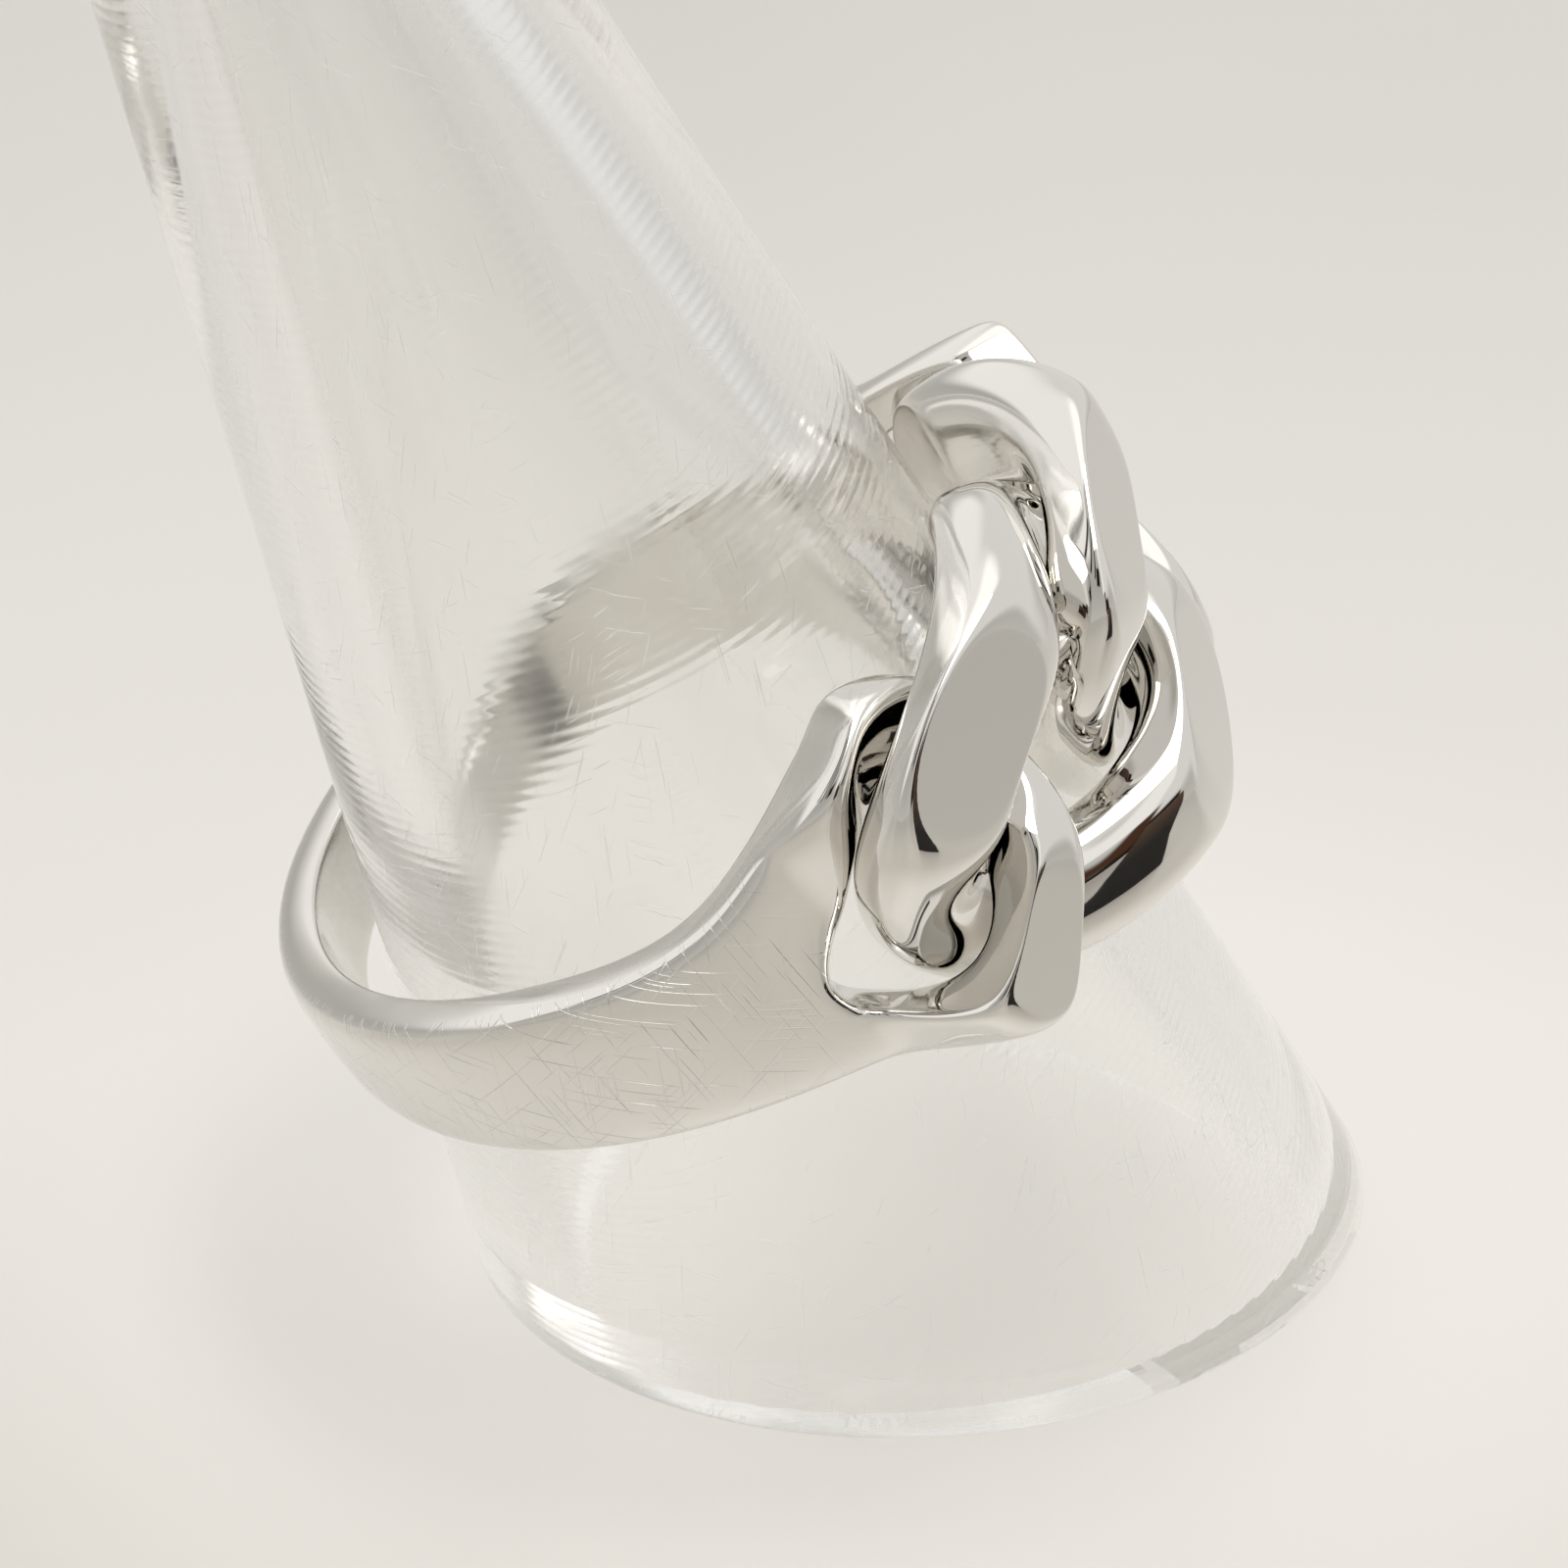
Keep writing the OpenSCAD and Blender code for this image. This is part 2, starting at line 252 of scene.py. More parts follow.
# Share of the band's half width that the web takes at the back
WEB_SHARE = 0.3
# Shares that shape a loop
HOLE_SHIFT = 0.075
HOLE_TILT = 0.25
LOOP_ROUND = 0.41
LOOP_LEAN = 0.42
LOOP_LOWER = 0.93
LOOP_DRAWN = 0.1
HOLE_ABOVE = 0.87
HOLE_BELOW = 1
HOLE_WIDENS = 0.8
HOLE_CLOSES = 0.35
LIP_FALL = 0.12
RISE_PACE = 0.75
# Where a loop's facet lies: turn round the loop, and wire widths in from its outline
LOOP_FACET_TURN = math.radians(50)
LOOP_FACET_IN = 0.6
# Rounds of subdivision
SHANK_LEVELS = 3

HOLE_A = LOOP_HOLE_L / 2
HOLE_B = LOOP_HOLE_W / 2
LOOP_TIP = -LINK_PITCH / 2 - LINK_A + WIRE_W / 2 + LOOP_PLAY + LOOP_WIRE_W
HOLE_U = LOOP_TIP - LOOP_WIRE_W - HOLE_A
HOLE_V = -LOOP_OFFSET - HOLE_SHIFT * LOOP_HOLE_W
LOOP_A = HOLE_A + LOOP_ROUND * LOOP_WIRE_W
LOOP_U = LOOP_TIP - LOOP_A
LOOP_V = -LOOP_OFFSET
LOOP_B = SHANK_FRONT_W / 2
BACK_U = -MID_R * math.pi
START_U = HOLE_U + HOLE_A * math.cos(math.radians(HOLE_START))


def curve(values, x):
    """A smooth curve through values at even steps, x being 0 to 1."""
    last = len(values) - 1
    i = min(last - 1, int(x * last))
    f = x * last - i
    a, b, c, d = values[max(0, i - 1)], values[i], values[i + 1], values[min(last, i + 2)]
    bend, twist = 2 * a - 5 * b + 4 * c - d, 3 * b - a - 3 * c + d
    return (2 * b + (c - a) * f + bend * f**2 + twist * f**3) / 2


def along_share(u):
    return (u - BACK_U) / (LOOP_U - BACK_U)


def edge(u, side):
    """The band's edge at u along, on the upper (1) or the lower side (-1)."""
    x = min(1, along_share(u))
    share = curve(EDGE_UPPER if side > 0 else EDGE_LOWER, x)
    half = LOOP_B if side > 0 else LOOP_LOWER * LOOP_B
    return side * lerp(SHANK_BACK_W / 2, half, share) - LOOP_OFFSET * smooth(x)


def band_t(u):
    return lerp(SHANK_T, SHOULDER_T, smooth(along_share(u)))


def tucked(b):
    """How far the loop's upper corner at the back is tucked in, at angle b round the hole."""
    return max(0, -math.sin(math.radians(2 * b))) if b > 0 else 0


def drawn(b):
    """How far the loop's lower corner at the tip is drawn in, at angle b round the hole."""
    return LOOP_DRAWN * math.sin(math.radians(2 * b)) ** 2 if -90 < b < 0 else 0


def hole_edge(b):
    cos, sin = math.cos(math.radians(b)), math.sin(math.radians(b))
    widen = HOLE_ABOVE + HOLE_WIDENS * max(0, cos) if b > 0 else HOLE_BELOW
    near = 1 - HOLE_CLOSES * tucked(b) - drawn(b)
    reach = np.array((HOLE_A * cos, HOLE_TILT * HOLE_A * cos + HOLE_B * sin * widen))
    return np.array((HOLE_U, HOLE_V)) + near * reach


def loop_edge(b):
    cos, sin = math.cos(math.radians(b)), math.sin(math.radians(b))
    if abs(b) <= 90:
        half = LOOP_B if b > 0 else LOOP_LOWER * LOOP_B
        reach = np.array((LOOP_A * (1 + LOOP_LEAN * sin) * cos, half * sin))
        return np.array((LOOP_U, LOOP_V)) + (1 - drawn(b)) * reach
    u = lerp(LOOP_U, START_U, cos / math.cos(math.radians(HOLE_START)))
    return np.array((u, edge(u, math.copysign(1, b))))


def band_station(k, side):
    """Outer edge, hole edge, inner face's height, and outer face's height at the hole and at the
    outer edge."""
    x = k / BAND_STEPS
    u = lerp(BACK_U, START_U, x)
    outer = edge(u, side)
    inner = lerp(outer * WEB_SHARE, hole_edge(side * HOLE_START)[1], smooth(x))
    return np.array((u, outer)), np.array((u, inner)), 0, band_t(u), band_t(u)


def loop_station(b):
    """The same at angle b round the hole."""
    fade = smooth((HOLE_START - abs(b)) / (HOLE_START - 90))
    middle = wave(math.radians(b) * RISE_PACE)
    outer = loop_edge(b)
    shoulder = band_t(min(outer[0], LOOP_U))
    low = 0 if b > 0 else max(0, middle - WIRE_T / 2) * fade
    top = lerp(shoulder, middle + WIRE_T / 2, fade)
    lip = min(shoulder, top) * (1 - LIP_FALL * tucked(b)) if b > 0 else top
    return outer, hole_edge(b), low, lip, top


def half_stations():
    """Stations of half the shank: up to the hole above it, round the loop and back below it."""
    turns = [lerp(HOLE_START, -HOLE_START, k / LOOP_STEPS) for k in range(LOOP_STEPS + 1)]
    return (
        [band_station(k, 1) for k in range(BAND_STEPS)]
        + [loop_station(b) for b in turns]
        + [band_station(k, -1) for k in range(BAND_STEPS - 1, 0, -1)]
    )


def section_points(station):
    outer, hole, low, top_in, top_out = station
    for across, up in SECTION:
        u, v = lerp(hole, outer, across)
        yield u, v, lerp(low, lerp(top_in, top_out, across), up)


def web_points():
    """The middle of the band, outside and inside, from the back to the hole."""
    tip = hole_edge(180)
    for k in range(BAND_STEPS + 1):
        x = k / BAND_STEPS
        start = lerp(BACK_U, START_U, x)
        u = start if k < BAND_STEPS else tip[0] - SECTION[WEB_OUT][0] * LOOP_WIRE_W
        for height in (band_t(start), 0):
            yield u, lerp(0, tip[1], smooth(x)), height


def wall_points():
    """The middle of the hole's wall, between the web's outer and inner point."""
    tip = hole_edge(180)
    for j in WALL[1:-1]:
        yield tip[0] - SECTION[j][0] * LOOP_WIRE_W, tip[1], SECTION[j][1] * band_t(START_U)


def shank_cage():
    """Points and four-sided faces of the shank, bent round the finger, to be subdivided."""
    stations = half_stations()
    count = len(stations)
    half = [p for s in stations for p in section_points(s)]
    half = np.array(half + list(web_points()) + list(wall_points()))
    size = len(half)
    points = bent(np.concatenate((half, half * (-1, -1, 1))))

    # Points by half and number: of a section, of the web and of the hole's wall
    def sec(h, i, j):
        return (h if i < count else 1 - h) * size + i % count * SIDES + j

    def web(h, k, inner):
        return (h * size if k else 0) + count * SIDES + 2 * k + inner

    def wall(h, c):
        if c in (0, WALL_END):
            return web(h, BAND_STEPS, c == WALL_END)
        return h * size + count * SIDES + 2 * (BAND_STEPS + 1) + c - 1

    faces = []
    for h in (0, 1):
        for i in range(count):
            in_loop = BAND_STEPS <= i < BAND_STEPS + LOOP_STEPS
            for j in range(SIDES) if in_loop else range(WEB_OUT, WEB_IN):
                j2 = (j + 1) % SIDES
                faces.append((sec(h, i, j), sec(h, i, j2), sec(h, i + 1, j2), sec(h, i + 1, j)))
        for k in range(BAND_STEPS):
            upper = [[sec(h, n, j) for n in (k, k + 1)] for j in (WEB_OUT, WEB_IN)]
            lower = [[sec(h, count - n, j) for n in (k, k + 1)] for j in (WEB_OUT, WEB_IN)]
            middle = [[web(h, n, inner) for n in (k, k + 1)] for inner in (0, 1)]
            faces += [
                (upper[0][0], upper[0][1], middle[0][1], middle[0][0]),
                (middle[0][0], middle[0][1], lower[0][1], lower[0][0]),
                (middle[1][0], middle[1][1], upper[1][1], upper[1][0]),
                (lower[1][0], lower[1][1], middle[1][1], middle[1][0]),
            ]
        first, last = BAND_STEPS, BAND_STEPS + LOOP_STEPS
        for c in range(WALL_END):
            faces += [
                (sec(h, first, WALL[c]), sec(h, first, WALL[c + 1]), wall(h, c + 1), wall(h, c)),
                (wall(h, c), wall(h, c + 1), sec(h, last, WALL[c + 1]), sec(h, last, WALL[c])),
            ]
    # Both halves share the points of the web's start, so the second half's copies are left out
    used = sorted({i for f in faces for i in f})
    place = {old: new for new, old in enumerate(used)}
    return points[used], [tuple(place[i] for i in f[::-1]) for f in faces]


def shank_surface():
    """The shank's cage, subdivided and cut flat on its raised limbs, in ring millimetres."""
    points, faces = shank_cage()
    cage = smooth_object("shank_cage", points, faces, unit=1)
    cage.modifiers.new("round", "SUBSURF").levels = SHANK_LEVELS
    surface = cage.evaluated_get(bpy.context.evaluated_depsgraph_get()).to_mesh()
    fine = np.empty(len(surface.vertices) * 3)
    surface.vertices.foreach_get("co", fine)
    quads = [tuple(p.vertices) for p in surface.polygons]
    bpy.data.objects.remove(cage)
    facet = LOOP_U + LOOP_A * math.cos(LOOP_FACET_TURN) - LOOP_WIRE_W * LOOP_FACET_IN
    return cut_back(fine.reshape(-1, 3), (facet / MID_R, -facet / MID_R)), quads


# Ring cone

# Points round the cone, and rings of them up its outside and down its hollow
CONE_STEPS = 192
OUTSIDE_RINGS = 150
INSIDE_RINGS = 90
# Rounding of the rim where the side meets the table, and rings round it
BASE_ROUND = 0.35
ROUND_STEPS = 6
# Rings of a flat end: shares of its radius
LID_RINGS = (0.02, 0.4, 0.8, 0.96)
# Angle over which an edge of the cone stays sharp
CONE_SHARP = math.radians(35)

ROUND_CONE = np.arange(CONE_STEPS) * 2 * math.pi / CONE_STEPS


def cone_rings():
    """Rings of points from the middle of the hollow's top, down its wall, under the rim and up
    the outside."""
    out = np.array((math.cos(CONE_LEAN), 0, math.sin(CONE_LEAN)))
    spoke = np.outer(np.cos(ROUND_CONE), out) + np.outer(np.sin(ROUND_CONE), (0, 1, 0))
    foot, axis = np.array(CONE_FOOT), np.array(CONE_AXIS)
    hollow = CONE_WALL / math.cos(CONE_TAPER)
    top_in, bevel_from = CONE_L - CONE_WALL, CONE_L - CONE_BEVEL

    def table(inset):
        """How far up the axis the side, inset from the outside, meets the table."""
        return -(CONE_R - inset) * spoke[:, 2] / (math.cos(CONE_LEAN) - TAPER * spoke[:, 2])

    def ring(climb, inset):
        r = CONE_R - climb * TAPER - inset
        rise = np.outer(np.broadcast_to(climb, ROUND_CONE.shape), axis)
        return foot + rise + np.multiply(spoke.T, r).T

    def lid(climb, inset):
        return [lerp(foot + climb * axis, ring(climb, inset), share) for share in LID_RINGS]

    rim_in, rim_out = ring(table(hollow), hollow), ring(table(0), 0)
    inward = rim_in - rim_out
    inward /= np.linalg.norm(inward, axis=1)[:, None]
    up_side = ring(table(0) + BASE_ROUND, 0) - rim_out
    rings = lid(top_in, hollow)
    for x in np.linspace(0, 1, INSIDE_RINGS):
        rings.append(ring(lerp(top_in, table(hollow), x), hollow))
    for angle in np.linspace(0, math.pi / 2, ROUND_STEPS + 1):
        under = BASE_ROUND * (1 - math.sin(angle)) * inward
        rings.append(rim_out + under + (1 - math.cos(angle)) * up_side)
    for x in np.linspace(0, 1, OUTSIDE_RINGS)[1:]:
        rings.append(ring(lerp(table(0) + BASE_ROUND, bevel_from, x), 0))
    rings.append(ring(CONE_L, CONE_BEVEL))
    return np.array(rings + lid(CONE_L, CONE_BEVEL)[::-1])


def cone_faces(rings):
    """Faces between this many rings and over both ends, wound so that they look out of the wall."""
    i, j = np.meshgrid(np.arange(rings - 1) * CONE_STEPS, np.arange(CONE_STEPS), indexing="ij")
    after = (j + 1) % CONE_STEPS
    quads = np.stack((i + j, i + after, i + CONE_STEPS + after, i + CONE_STEPS + j), axis=-1)
    first = tuple(range(CONE_STEPS))
    last = tuple(k + (rings - 1) * CONE_STEPS for k in first)
    return quads.reshape(-1, 4).tolist() + [first[::-1], last]


# Materials. Spans, lengths and depths are in millimetres.

# A scratch from handling, drawn a little coarser than real so that it shows
SCRATCH_L = 3
SCRATCH_W = 0.06
SCRATCH_DEPTH = 0.012
# How softly its edge fades, as a share of the noise that it is cut from
SCRATCH_EDGE = 0.08

# Size of the clouds of smears and tarnish on the silver
CLOUD_SPAN = 2
# Slow waves that hand polishing leaves
WAVE_SPAN = 3.5
WAVE_DEPTH = 0.012
# Roughness of the polish, clean and smeared, and what satin and a scratch add to it
POLISH = (0.02, 0.06)
SATIN = 0.22
SCRATCHED = 0.15
# Turns of the silver's scratches, and how sparse they are
SILVER_TURNS = (0.4, 1.2, 1.7, 2.6)
SILVER_SPARSE = 0.78
# Height over the finger hole below which the silver is left satin and dulled by tarnish
DULL_BELOW = 1.1
# Turn from the front where the band starts to be scratched, and over which the scratches grow
WORN_FROM = math.radians(55)
WORN_OVER = math.radians(25)
# Heights between which the scratches come up, as shares of the band's thickness
WORN_HEIGHTS = (0.7, 0.95)

# The lathe's feed and how high it leaves each ring, where it chatters least and most
RIDGE_PITCH = 0.3
RIDGE_HEIGHTS = (0.0003, 0.0015)
CHATTER_SPAN = 4
# How far the rings stray from level, as an angle of their wave, and over what span
RIDGE_DRIFT = 3.0
DRIFT_SPAN = 2.5
# Turns of the acrylic's scratches, and how sparse they are
ACRYLIC_TURNS = (-0.4, 0.1, 0.7, 1.2)
ACRYLIC_SPARSE = 0.88
# Width and length of a streak from wiping
STREAK_SPAN = (3, 25, 1)
# Roughness between and on the streaks, and what a scratch adds to it
HAZE = (0.02, 0.14)
ACRYLIC_SCRATCHED = 0.2
# Bounces after which light caught in the acrylic's wall is let out
CAUGHT_AFTER = 3

# Roughness of the board's lacquer, and noise per millimetre of its unevenness
LACQUER = (0.26, 0.36)
LACQUER_NOISE = 0.03
# Distances from the foot over which painted shade greys the board, round a painted pool of light
PAINTED_POOL_R = (15, 38)
# Distances behind the foot over which the painted shade fades, and the share of painted shade left
# there
BEHIND = (-18, 8)
BEHIND_PAINTED_SHADE = 0.2
# Share of the dark card's height where it starts to turn from black to brown
BROWN_FROM = 0.4

# The Mix node's sockets for colours
COLOUR_A, COLOUR_B, MIXED = 6, 7, 2

# Side of the ring that faces the camera, which the board's painted shade, the cards and the lamp
# are laid out from
CAMERA_TURN = math.radians(-35.0)


def linear(colour):
    """An sRGB hex colour as linear red, green, blue and alpha."""
    parts = [int(colour[i:i + 2], 16) / 255 for i in (1, 3, 5)]
    return [p / 12.92 if p <= 0.04045 else ((p + 0.055) / 1.055) ** 2.4 for p in parts] + [1]


def node(tree, kind, inputs=None, **settings):
    """Adds a node with these settings. An input is another node's output to link, or a value."""
    n = tree.nodes.new(kind)
    for name, value in settings.items():
        setattr(n, name, value)
    for name, value in (inputs or {}).items():
        if isinstance(value, bpy.types.NodeSocket):
            tree.links.new(value, n.inputs[name])
        else:
            n.inputs[name].default_value = value
    return n


def material(name):
    mat = bpy.data.materials.new(name)
    mat.use_nodes = True
    mat.node_tree.nodes.clear()
    return mat, mat.node_tree


def millimetres(tree):
    """The place on a piece, in millimetres."""
    place = node(tree, "ShaderNodeTexCoord").outputs["Object"]
    scaled = node(tree, "ShaderNodeVectorMath", {0: place, "Scale": 1 / MM}, operation="SCALE")
    return scaled.outputs[0]


def scratches(tree, unrolled, turns, sparse):
    """Straight scratches along the unrolled surface at these turns, 1 on a scratch."""
    lines = 0.0
    for turn in turns:
        laid = node(
            tree, "ShaderNodeMapping",
            {"Vector": unrolled, "Rotation": (0, 0, turn), "Scale": (SCRATCH_L, SCRATCH_W, 1)},
            vector_type="TEXTURE",
        ).outputs[0]
        streaks = node(
            tree, "ShaderNodeTexNoise", {"Vector": laid, "Scale": 1.0, "Detail": 0.0},
            noise_dimensions="2D",
        ).outputs[0]
        line = node(
            tree, "ShaderNodeMapRange",
            {"Value": streaks, "From Min": sparse, "From Max": sparse + SCRATCH_EDGE},
        ).outputs[0]
        lines = node(tree, "ShaderNodeMath", {0: lines, 1: line}, operation="MAXIMUM").outputs[0]
    return lines


def polished_silver():
    """Cast silver, mirror-polished by hand: it mirrors with slow waves and handling scratches, and
    the inside stays satin and dulled by tarnish."""
    mat, tree = material("hand_polished_silver")
    place = millimetres(tree)
    unrolled = node(tree, "ShaderNodeAttribute", attribute_name="unrolled").outputs["Vector"]
    tarnish = node(tree, "ShaderNodeAttribute", attribute_name="tarnish").outputs["Fac"]
    wear = node(tree, "ShaderNodeAttribute", attribute_name="wear").outputs["Fac"]
    cloud = node(
        tree, "ShaderNodeTexNoise", {"Vector": place, "Scale": 1 / CLOUD_SPAN, "Detail": 3.0}
    ).outputs[0]
    patches = node(
        tree, "ShaderNodeMapRange",
        {"Value": cloud, "From Min": 0.35, "From Max": 0.6, "To Min": 0.25},
    ).outputs[0]
    dull = node(tree, "ShaderNodeMath", {0: tarnish, 1: patches}, operation="MULTIPLY").outputs[0]
    colour = node(
        tree, "ShaderNodeMix",
        {"Factor": dull, COLOUR_A: linear("#E7E5E1"), COLOUR_B: linear("#E4E1DB")},
        data_type="RGBA",
    ).outputs[MIXED]
    lines = scratches(tree, unrolled, SILVER_TURNS, SILVER_SPARSE)
    lines = node(tree, "ShaderNodeMath", {0: lines, 1: wear}, operation="MULTIPLY").outputs[0]
    # Roughness: the polish with its smears, then the satin inside, then the scratches
    rough = node(
        tree, "ShaderNodeMapRange", {"Value": cloud, "To Min": POLISH[0], "To Max": POLISH[1]}
    ).outputs[0]
    for share, added in ((dull, SATIN), (lines, SCRATCHED)):
        rough = node(
            tree, "ShaderNodeMath", {0: share, 1: added, 2: rough}, operation="MULTIPLY_ADD"
        ).outputs[0]
    # Relief: the waves with the scratches cut into them
    waves = node(
        tree, "ShaderNodeTexNoise", {"Vector": place, "Scale": 1 / WAVE_SPAN, "Detail": 1.5}
    ).outputs[0]
    relief = node(
        tree, "ShaderNodeMath", {0: waves, 1: WAVE_DEPTH}, operation="MULTIPLY"
    ).outputs[0]
    relief = node(
        tree, "ShaderNodeMath", {0: lines, 1: -SCRATCH_DEPTH, 2: relief}, operation="MULTIPLY_ADD"
    ).outputs[0]
    polish = node(tree, "ShaderNodeBump", {"Height": relief, "Distance": MM}).outputs[0]
    shader = node(
        tree, "ShaderNodeBsdfPrincipled",
        {"Base Color": colour, "Roughness": rough, "Normal": polish, "Metallic": 1.0},
    )
    node(tree, "ShaderNodeOutputMaterial", {"Surface": shader.outputs[0]})
    return mat


def turned_acrylic():
    """Clear acrylic, turned on a lathe and left as turned: fine rings bend what is seen through
    it, and wiping has left soft streaks up the cone and a few scratches."""
    mat, tree = material("turned_clear_acrylic")
    place = millimetres(tree)
    unrolled = node(tree, "ShaderNodeAttribute", attribute_name="unrolled").outputs["Vector"]
    # The rings run round the axis, stray a little and fade in and out, as the tool chatters
    climb = node(
        tree, "ShaderNodeVectorMath", {0: place, 1: CONE_AXIS * (2 * math.pi / RIDGE_PITCH)},
        operation="DOT_PRODUCT",
    ).outputs["Value"]
    drift = node(
        tree, "ShaderNodeTexNoise", {"Vector": place, "Scale": 1 / DRIFT_SPAN, "Detail": 1.0}
    ).outputs[0]
    phase = node(
        tree, "ShaderNodeMath", {0: drift, 1: RIDGE_DRIFT, 2: climb}, operation="MULTIPLY_ADD"
    ).outputs[0]
    ridges = node(tree, "ShaderNodeMath", {0: phase}, operation="SINE").outputs[0]
    chatter = node(
        tree, "ShaderNodeTexNoise", {"Vector": place, "Scale": 1 / CHATTER_SPAN, "Detail": 2.0}
    ).outputs[0]
    height = node(
        tree, "ShaderNodeMapRange",
        {"Value": chatter, "From Min": 0.3, "From Max": 0.7,
         "To Min": RIDGE_HEIGHTS[0], "To Max": RIDGE_HEIGHTS[1]},
    ).outputs[0]
    relief = node(tree, "ShaderNodeMath", {0: ridges, 1: height}, operation="MULTIPLY").outputs[0]
    lines = scratches(tree, unrolled, ACRYLIC_TURNS, ACRYLIC_SPARSE)
    relief = node(
        tree, "ShaderNodeMath", {0: lines, 1: -SCRATCH_DEPTH / 2, 2: relief},
        operation="MULTIPLY_ADD",
    ).outputs[0]
    turned = node(tree, "ShaderNodeBump", {"Height": relief, "Distance": MM}).outputs[0]
    wiped = node(
        tree, "ShaderNodeMapping", {"Vector": unrolled, "Scale": STREAK_SPAN},
        vector_type="TEXTURE",
    ).outputs[0]
    streaks = node(
        tree, "ShaderNodeTexNoise", {"Vector": wiped, "Scale": 1.0, "Detail": 3.0},
        noise_dimensions="2D",
    ).outputs[0]
    rough = node(
        tree, "ShaderNodeMapRange",
        {"Value": streaks, "From Min": 0.35, "From Max": 0.65,
         "To Min": HAZE[0], "To Max": HAZE[1]},
    ).outputs[0]
    rough = node(
        tree, "ShaderNodeMath", {0: lines, 1: ACRYLIC_SCRATCHED, 2: rough},
        operation="MULTIPLY_ADD",
    ).outputs[0]
    clear = node(
        tree, "ShaderNodeBsdfPrincipled",
        {"Base Color": linear("#FDFDFC"), "IOR": 1.49, "Transmission Weight": 1.0,
         "Roughness": rough, "Normal": turned},
    )
    # Lamps and the tent reach what is behind the wall, and light caught inside it comes out
    passed = node(tree, "ShaderNodeBsdfTransparent")
    ray = node(tree, "ShaderNodeLightPath").outputs
    let_through = node(
        tree, "ShaderNodeMath", {0: ray["Ray Depth"], 1: CAUGHT_AFTER}, operation="GREATER_THAN"
    ).outputs[0]
    for lit in (ray["Is Shadow Ray"], ray["Is Diffuse Ray"]):
        let_through = node(
            tree, "ShaderNodeMath", {0: let_through, 1: lit}, operation="MAXIMUM"
        ).outputs[0]
    both = node(
        tree, "ShaderNodeMixShader", {0: let_through, 1: clear.outputs[0], 2: passed.outputs[0]}
    )
    node(tree, "ShaderNodeOutputMaterial", {"Surface": both.outputs[0]})
    return mat


def lacquered_board():
    """White lacquered board under the lamp: a satin gloss, with painted shade that greys it away
    from the ring, least so behind it, round a painted pool of light."""
    mat, tree = material("white_lacquered_board")
    place = millimetres(tree)
    cloud = node(
        tree, "ShaderNodeTexNoise", {"Vector": place, "Scale": LACQUER_NOISE, "Detail": 2.0}
    ).outputs[0]
    rough = node(
        tree, "ShaderNodeMapRange", {"Value": cloud, "To Min": LACQUER[0], "To Max": LACQUER[1]}
    ).outputs[0]
    # Painted shade: the board is painted greyer away from the ring and less so behind it, a painted
    # pool of light under the lamp
    distance = node(tree, "ShaderNodeVectorMath", {0: place}, operation="LENGTH").outputs["Value"]
    far = node(
        tree, "ShaderNodeMapRange",
        {"Value": distance, "From Min": PAINTED_POOL_R[0], "From Max": PAINTED_POOL_R[1]},
        interpolation_type="SMOOTHSTEP",
    ).outputs[0]
    turned = node(
        tree, "ShaderNodeMapping", {"Vector": place, "Rotation": (0, 0, CAMERA_TURN)},
        vector_type="TEXTURE",
    ).outputs[0]
    back = node(tree, "ShaderNodeSeparateXYZ", {"Vector": turned}).outputs["Y"]
    before = node(
        tree, "ShaderNodeMapRange",
        {"Value": back, "From Min": BEHIND[0], "From Max": BEHIND[1],
         "To Min": 1.0, "To Max": BEHIND_PAINTED_SHADE},
        interpolation_type="SMOOTHSTEP",
    ).outputs[0]
    shade = node(tree, "ShaderNodeMath", {0: far, 1: before}, operation="MULTIPLY").outputs[0]
    # The board's own white, and the grey of its painted shade
    colour = node(
        tree, "ShaderNodeMix",
        {"Factor": shade, COLOUR_A: linear("#EFEDE9"), COLOUR_B: linear("#CFCCC6")},
        data_type="RGBA",
    ).outputs[MIXED]
    shader = node(
        tree, "ShaderNodeBsdfPrincipled", {"Base Color": colour, "Roughness": rough}
    )
    node(tree, "ShaderNodeOutputMaterial", {"Surface": shader.outputs[0]})
    return mat


def brown_black_card(height):
    """Matt card of this height that turns from black at its foot to brown."""
    mat, tree = material("brown_black_card")
    up = node(tree, "ShaderNodeSeparateXYZ", {"Vector": millimetres(tree)}).outputs["Z"]
    fade = node(
        tree, "ShaderNodeMapRange",
        {"Value": up, "From Min": height * BROWN_FROM, "From Max": height},
    ).outputs[0]
    colour = node(
        tree, "ShaderNodeMix",
        {"Factor": fade, COLOUR_A: linear("#171413"), COLOUR_B: linear("#5A4233")},
        data_type="RGBA",
    ).outputs[MIXED]
    shader = node(tree, "ShaderNodeBsdfPrincipled", {"Base Color": colour, "Roughness": 0.6})
    node(tree, "ShaderNodeOutputMaterial", {"Surface": shader.outputs[0]})
    return mat


# The pieces

def add_piece(name, points, faces, finish, node_name):
    piece = smooth_object(name, points, faces)
    piece.data.materials.append(finish)
    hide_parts(node_name)
    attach(piece, "root")
    return piece


def climb_on_cone(points, node_name):
    """How far up the cone the ring lies, from the place of one of its solids."""
    low, high = (np.array(corner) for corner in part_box(node_name))
    rest = placed(points)
    middle = (rest.min(axis=0) + rest.max(axis=0)) / 2
    return float(((low + high) / 2 / MM - middle) @ np.array(CONE_AXIS))


def keep(piece, name, values):
    """Keeps a number or a vector for each point of a piece, for its material."""
    kind, field = ("FLOAT", "value") if values.ndim == 1 else ("FLOAT_VECTOR", "vector")
    piece.data.attributes.new(name, kind, "POINT").data.foreach_set(field, values.ravel())


